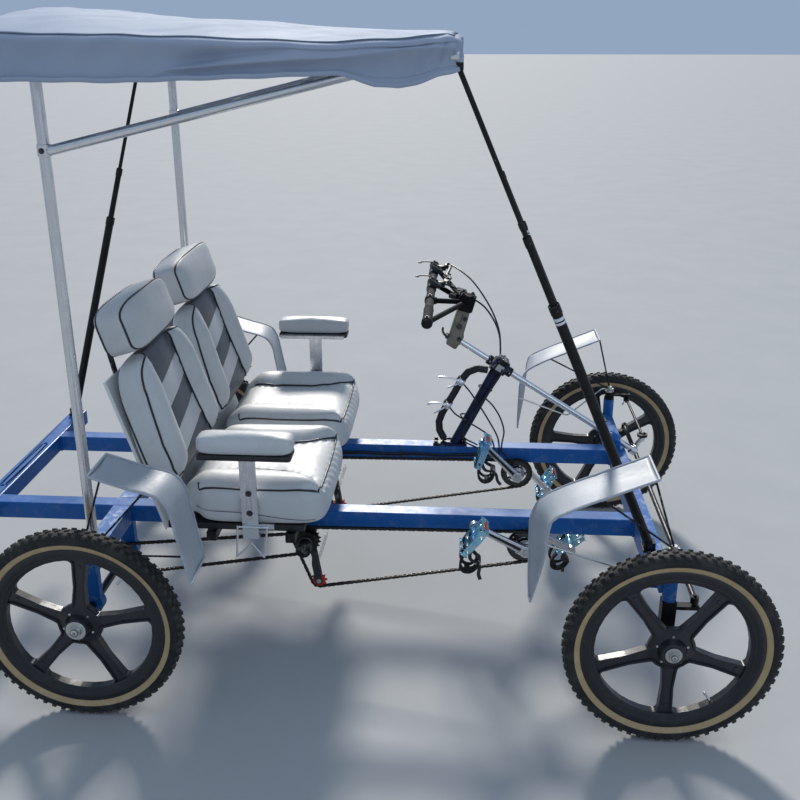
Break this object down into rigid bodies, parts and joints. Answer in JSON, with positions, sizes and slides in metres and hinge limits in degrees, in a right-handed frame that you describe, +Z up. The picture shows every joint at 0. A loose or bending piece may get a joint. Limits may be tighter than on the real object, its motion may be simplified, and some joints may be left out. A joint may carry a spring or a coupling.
{
  "type": "two-seat four-wheel pedal car with canopy",
  "caption": "Side-by-side pedal car on spoked-mag wheels: blue tube frame, padded seats with armrests, steering column, pedal cranks, fenders and a fabric canopy.",
  "frame": {"origin": "on the ground under the middle of the vehicle's whole length and width", "axes": "+X forward, +Y to the vehicle's left, +Z up"},
  "size_m": [2.068, 1.352, 1.656],
  "materials": {
    "frame_paint": "blue gloss enamel",
    "black_steel": "black satin paint",
    "bright_steel": "bright plated steel",
    "aluminium": "brushed aluminium",
    "seat_vinyl": "light grey marine vinyl",
    "seat_shell": "moulded off-white plastic",
    "canopy_vinyl": "off-white coated canvas",
    "tyre_rubber": "black rubber with a tan sidewall ring",
    "black_plastic": "black moulded nylon",
    "chain_steel": "oiled dark steel",
    "fender_sheet": "light grey sheet"
  },
  "bodies": {
    "chassis": {"armrest_pads": "seat_vinyl", "armrest_posts": "aluminium", "brake_hoop": "black_steel", "canopy_bows": "aluminium", "canopy_braces": "aluminium", "canopy_cover": "canopy_vinyl", "canopy_poles": "aluminium", "canopy_rails": "aluminium", "canopy_struts": "black_steel", "crank_bearings": "black_steel", "drive_chains": "chain_steel", "drive_units": "black_steel", "front_crossbeam": "frame_paint", "headrests": "seat_vinyl", "left_backrest": "seat_vinyl", "left_seat_cushion": "seat_vinyl", "long_beams": "frame_paint", "rear_axle_carrier": "frame_paint", "rear_crossbeam": "frame_paint", "rear_fenders": "fender_sheet", "right_backrest": "seat_vinyl", "right_seat_cushion": "seat_vinyl", "seat_rails": "black_steel", "seat_shells": "seat_shell", "steering_post": "frame_paint", "wire_bracket": "bright_steel"},
    "steering": {"steering_shaft": "bright_steel", "handlebar": "black_steel"},
    "left_knuckle": {"left_knuckle": "black_steel", "front_left_fender": "fender_sheet"},
    "right_knuckle": {"right_knuckle": "black_steel", "front_right_fender": "fender_sheet"},
    "tie_rod": {"tie_rod": "black_steel"},
    "drag_link": {"drag_link": "black_steel"},
    "front_left_wheel": {"front_left_tyre": "tyre_rubber", "front_left_rim": "black_plastic"},
    "front_right_wheel": {"front_right_tyre": "tyre_rubber", "front_right_rim": "black_plastic"},
    "rear_left_wheel": {"rear_left_tyre": "tyre_rubber", "rear_left_rim": "black_plastic", "rear_left_axle": "chain_steel"},
    "rear_right_wheel": {"rear_right_tyre": "tyre_rubber", "rear_right_rim": "black_plastic", "rear_right_axle": "chain_steel"},
    "left_crank": {"left_crankset": "aluminium"},
    "right_crank": {"right_crankset": "aluminium"},
    "left_crank_left_pedal": {"left_crank_left_pedal": "aluminium"},
    "left_crank_right_pedal": {"left_crank_right_pedal": "aluminium"},
    "right_crank_left_pedal": {"right_crank_left_pedal": "aluminium"},
    "right_crank_right_pedal": {"right_crank_right_pedal": "aluminium"}
  },
  "joints": [
    {"name": "steering", "type": "hinge", "parent": "chassis", "child": "steering", "pos_m": [0.259, 0.228, 0.74], "axis": [-0.8464, 0, 0.5325], "range_deg": [-28, 28]},
    {"name": "left_kingpin", "type": "hinge", "parent": "chassis", "child": "left_knuckle", "pos_m": [0.78, 0.54, 0.39], "axis": [0, 0, 1], "range_deg": [-24, 24]},
    {"name": "right_kingpin", "type": "hinge", "parent": "chassis", "child": "right_knuckle", "pos_m": [0.78, -0.54, 0.39], "axis": [0, 0, 1], "range_deg": [-24, 24]},
    {"name": "tie_rod_pivot", "type": "hinge", "parent": "left_knuckle", "child": "tie_rod", "pos_m": [0.84, 0.54, 0.342], "axis": [0, 0, 1], "range_deg": [-24, 24]},
    {"name": "drag_link_pivot", "type": "hinge", "parent": "left_knuckle", "child": "drag_link", "pos_m": [0.8386, 0.54, 0.44042], "axis": [0, 0, 1], "range_deg": [-24, 24]},
    {"name": "front_left_wheel_spin", "type": "hinge", "parent": "left_knuckle", "child": "front_left_wheel", "pos_m": [0.78, 0.611, 0.254], "axis": [0, 1, 0], "continuous": true},
    {"name": "front_right_wheel_spin", "type": "hinge", "parent": "right_knuckle", "child": "front_right_wheel", "pos_m": [0.78, -0.611, 0.254], "axis": [0, 1, 0], "continuous": true},
    {"name": "rear_left_wheel_spin", "type": "hinge", "parent": "chassis", "child": "rear_left_wheel", "pos_m": [-0.63, 0.6, 0.254], "axis": [0, 1, 0], "continuous": true},
    {"name": "rear_right_wheel_spin", "type": "hinge", "parent": "chassis", "child": "rear_right_wheel", "pos_m": [-0.63, -0.6, 0.254], "axis": [0, 1, 0], "continuous": true},
    {"name": "left_crank_spin", "type": "hinge", "parent": "chassis", "child": "left_crank", "pos_m": [0.458, 0.228, 0.32], "axis": [0, 1, 0], "continuous": true},
    {"name": "right_crank_spin", "type": "hinge", "parent": "chassis", "child": "right_crank", "pos_m": [0.458, -0.228, 0.32], "axis": [0, 1, 0], "continuous": true},
    {"name": "left_crank_right_pedal_spin", "type": "hinge", "parent": "left_crank", "child": "left_crank_right_pedal", "pos_m": [0.34911, 0.098, 0.42889], "axis": [0, 1, 0], "continuous": true},
    {"name": "left_crank_left_pedal_spin", "type": "hinge", "parent": "left_crank", "child": "left_crank_left_pedal", "pos_m": [0.56689, 0.358, 0.21111], "axis": [0, 1, 0], "continuous": true},
    {"name": "right_crank_right_pedal_spin", "type": "hinge", "parent": "right_crank", "child": "right_crank_right_pedal", "pos_m": [0.32078, -0.358, 0.38992], "axis": [0, 1, 0], "continuous": true},
    {"name": "right_crank_left_pedal_spin", "type": "hinge", "parent": "right_crank", "child": "right_crank_left_pedal", "pos_m": [0.59522, -0.098, 0.25009], "axis": [0, 1, 0], "continuous": true}
  ],
  "couplings": [
    {"joint": "left_kingpin", "follows": "steering", "ratio": 0.85324},
    {"joint": "right_kingpin", "follows": "steering", "ratio": 0.85324},
    {"joint": "tie_rod_pivot", "follows": "steering", "ratio": -0.85324},
    {"joint": "drag_link_pivot", "follows": "steering", "ratio": -0.85324}
  ]
}
